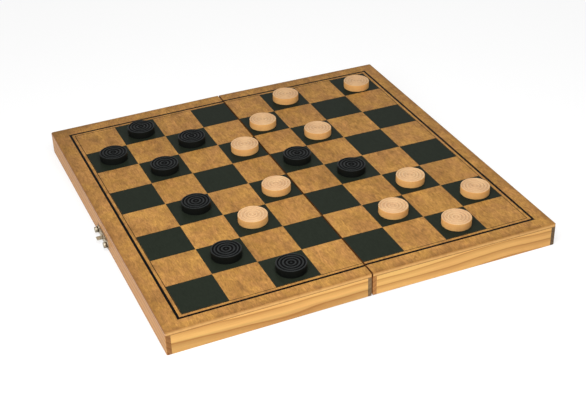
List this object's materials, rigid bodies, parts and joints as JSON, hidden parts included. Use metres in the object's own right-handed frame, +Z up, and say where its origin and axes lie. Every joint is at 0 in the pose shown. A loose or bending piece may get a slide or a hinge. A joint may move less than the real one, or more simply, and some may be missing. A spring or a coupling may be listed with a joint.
{
  "type": "checkers set",
  "caption": "Folding wooden checkers set lying open, with turned men in play on a printed board; the hinged halves close into a shallow storage case held by a small hasp.",
  "frame": {"origin": "on the table plane, under the middle of the fold between the two halves", "axes": "+X along the front edge to the right, +Y away from the near edge along the fold, +Z up from the table"},
  "size_m": [0.3011, 0.2944, 0.025],
  "materials": {
    "panel_wood": "lacquered plywood, satin",
    "wall_wood": "lacquered pine, satin",
    "dark_print": "printed ink, satin",
    "line_print": "printed ink, satin",
    "black_man_wood": "painted wood, satin",
    "light_man_wood": "lacquered wood, satin",
    "hinge_brass": "brass plated, satin",
    "clasp_metal": "nickel plated, satin",
    "pin_steel": "plain"
  },
  "bodies": {
    "left_half": {"left_panel": "panel_wood", "left_dark_squares": "dark_print", "left_border_lines": "line_print", "left_outer_wall": "wall_wood", "left_inner_wall": "wall_wood", "left_front_wall": "wall_wood", "left_back_wall": "wall_wood", "left_hinge_nails": "hinge_brass", "front_hinge_left_leaf": "hinge_brass", "front_hinge_pin": "pin_steel", "back_hinge_left_leaf": "hinge_brass", "back_hinge_pin": "pin_steel", "catch_plate": "clasp_metal", "catch_screws": "clasp_metal"},
    "right_half": {"right_panel": "panel_wood", "right_dark_squares": "dark_print", "right_border_lines": "line_print", "right_outer_wall": "wall_wood", "right_inner_wall": "wall_wood", "right_front_wall": "wall_wood", "right_back_wall": "wall_wood", "right_hinge_nails": "hinge_brass", "front_hinge_right_leaf": "hinge_brass", "back_hinge_right_leaf": "hinge_brass", "hasp_plate": "clasp_metal", "hasp_pin": "pin_steel", "hasp_screws": "clasp_metal"},
    "hasp_flap": {"hasp_flap": "clasp_metal"},
    "black_man_1": {"black_man_1": "black_man_wood"},
    "black_man_2": {"black_man_2": "black_man_wood"},
    "black_man_3": {"black_man_3": "black_man_wood"},
    "black_man_4": {"black_man_4": "black_man_wood"},
    "black_man_5": {"black_man_5": "black_man_wood"},
    "black_man_6": {"black_man_6": "black_man_wood"},
    "black_man_7": {"black_man_7": "black_man_wood"},
    "black_man_8": {"black_man_8": "black_man_wood"},
    "black_man_9": {"black_man_9": "black_man_wood"},
    "light_man_1": {"light_man_1": "light_man_wood"},
    "light_man_2": {"light_man_2": "light_man_wood"},
    "light_man_3": {"light_man_3": "light_man_wood"},
    "light_man_4": {"light_man_4": "light_man_wood"},
    "light_man_5": {"light_man_5": "light_man_wood"},
    "light_man_6": {"light_man_6": "light_man_wood"},
    "light_man_7": {"light_man_7": "light_man_wood"},
    "light_man_8": {"light_man_8": "light_man_wood"},
    "light_man_9": {"light_man_9": "light_man_wood"},
    "light_man_10": {"light_man_10": "light_man_wood"},
    "light_man_11": {"light_man_11": "light_man_wood"}
  },
  "joints": [
    {"name": "fold_hinge", "type": "hinge", "parent": "left_half", "child": "right_half", "pos_m": [0, 0, 0.00102], "axis": [0, 1, 0], "range_deg": [-0.79, 179.15]},
    {"name": "hasp_swing", "type": "hinge", "parent": "right_half", "child": "hasp_flap", "pos_m": [0.14821, -0.0026, 0.00189], "axis": [0, 1, 0], "range_deg": [0, 181.5]},
    {"name": "black_man_1_lift", "type": "slide", "parent": "left_half", "child": "black_man_1", "axis": [-0.007, 0, 1], "range_m": [0, 0.03]},
    {"name": "black_man_2_lift", "type": "slide", "parent": "left_half", "child": "black_man_2", "axis": [-0.007, 0, 1], "range_m": [0, 0.03]},
    {"name": "black_man_3_lift", "type": "slide", "parent": "left_half", "child": "black_man_3", "axis": [-0.007, 0, 1], "range_m": [0, 0.03]},
    {"name": "black_man_4_lift", "type": "slide", "parent": "right_half", "child": "black_man_4", "axis": [0.007, 0, 1], "range_m": [0, 0.03]},
    {"name": "black_man_5_lift", "type": "slide", "parent": "right_half", "child": "black_man_5", "axis": [0.007, 0, 1], "range_m": [0, 0.03]},
    {"name": "black_man_6_lift", "type": "slide", "parent": "left_half", "child": "black_man_6", "axis": [-0.007, 0, 1], "range_m": [0, 0.03]},
    {"name": "black_man_7_lift", "type": "slide", "parent": "left_half", "child": "black_man_7", "axis": [-0.007, 0, 1], "range_m": [0, 0.03]},
    {"name": "black_man_8_lift", "type": "slide", "parent": "left_half", "child": "black_man_8", "axis": [-0.007, 0, 1], "range_m": [0, 0.03]},
    {"name": "black_man_9_lift", "type": "slide", "parent": "left_half", "child": "black_man_9", "axis": [-0.007, 0, 1], "range_m": [0, 0.03]},
    {"name": "light_man_1_lift", "type": "slide", "parent": "right_half", "child": "light_man_1", "axis": [0.007, 0, 1], "range_m": [0, 0.03]},
    {"name": "light_man_2_lift", "type": "slide", "parent": "right_half", "child": "light_man_2", "axis": [0.007, 0, 1], "range_m": [0, 0.03]},
    {"name": "light_man_3_lift", "type": "slide", "parent": "right_half", "child": "light_man_3", "axis": [0.007, 0, 1], "range_m": [0, 0.03]},
    {"name": "light_man_4_lift", "type": "slide", "parent": "left_half", "child": "light_man_4", "axis": [-0.007, 0, 1], "range_m": [0, 0.03]},
    {"name": "light_man_5_lift", "type": "slide", "parent": "right_half", "child": "light_man_5", "axis": [0.007, 0, 1], "range_m": [0, 0.03]},
    {"name": "light_man_6_lift", "type": "slide", "parent": "left_half", "child": "light_man_6", "axis": [-0.007, 0, 1], "range_m": [0, 0.03]},
    {"name": "light_man_7_lift", "type": "slide", "parent": "left_half", "child": "light_man_7", "axis": [-0.007, 0, 1], "range_m": [0, 0.03]},
    {"name": "light_man_8_lift", "type": "slide", "parent": "right_half", "child": "light_man_8", "axis": [0.007, 0, 1], "range_m": [0, 0.03]},
    {"name": "light_man_9_lift", "type": "slide", "parent": "right_half", "child": "light_man_9", "axis": [0.007, 0, 1], "range_m": [0, 0.03]},
    {"name": "light_man_10_lift", "type": "slide", "parent": "right_half", "child": "light_man_10", "axis": [0.007, 0, 1], "range_m": [0, 0.03]},
    {"name": "light_man_11_lift", "type": "slide", "parent": "right_half", "child": "light_man_11", "axis": [0.007, 0, 1], "range_m": [0, 0.03]}
  ]
}
